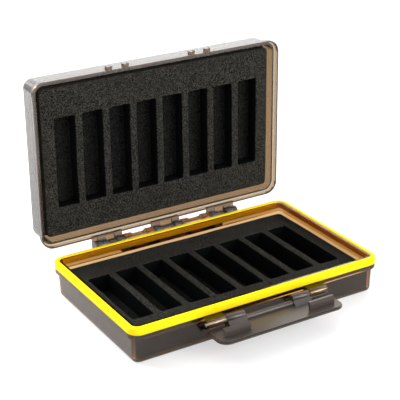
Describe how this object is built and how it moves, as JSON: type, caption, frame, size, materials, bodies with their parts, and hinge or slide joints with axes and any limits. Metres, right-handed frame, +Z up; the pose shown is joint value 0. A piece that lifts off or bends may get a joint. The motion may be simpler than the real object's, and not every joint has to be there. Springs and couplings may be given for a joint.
{
  "type": "hinged storage case",
  "caption": "Open hard-shell storage case with smoke-tinted lid and base, yellow gasket, slotted foam inserts, pinned hinge and a front latch flap.",
  "frame": {"origin": "centre of the base's flat underside", "axes": "X along the hinge, -Y towards the latch, +Y towards the hinge, Z up from the face it rests on"},
  "size_m": [0.1618, 0.1463, 0.125],
  "materials": {
    "smoke_plastic_base": "smoke-tinted translucent plastic with a satin outside",
    "smoke_plastic_lid": "smoke-tinted translucent plastic with a satin outside",
    "smoke_plastic_flap": "smoke-tinted translucent plastic, polished",
    "yellow_silicone": "smooth bright yellow silicone rubber",
    "charcoal_foam": "fine closed-cell charcoal foam",
    "black_foam": "matt black foam backing",
    "steel_wire": "drawn stainless wire with polished ends"
  },
  "bodies": {
    "base": {"base_shell": "smoke_plastic_base", "rim_gasket": "yellow_silicone", "base_foam_block": "charcoal_foam", "base_foam_sheet": "black_foam", "hinge_pin": "steel_wire", "latch_pin_left": "steel_wire", "latch_pin_right": "steel_wire"},
    "lid": {"lid_shell": "smoke_plastic_lid", "lid_foam_block": "charcoal_foam", "lid_foam_sheet": "black_foam"},
    "latch": {"latch_flap": "smoke_plastic_flap"}
  },
  "joints": [
    {"name": "lid_hinge", "type": "hinge", "parent": "base", "child": "lid", "pos_m": [0, 0.0551, 0.0185], "axis": [1, 0, 0], "range_deg": [0, 90]},
    {"name": "latch_hinge", "type": "hinge", "parent": "base", "child": "latch", "pos_m": [0, -0.0529, 0.015], "axis": [-1, 0, 0], "range_deg": [0, 90]}
  ]
}
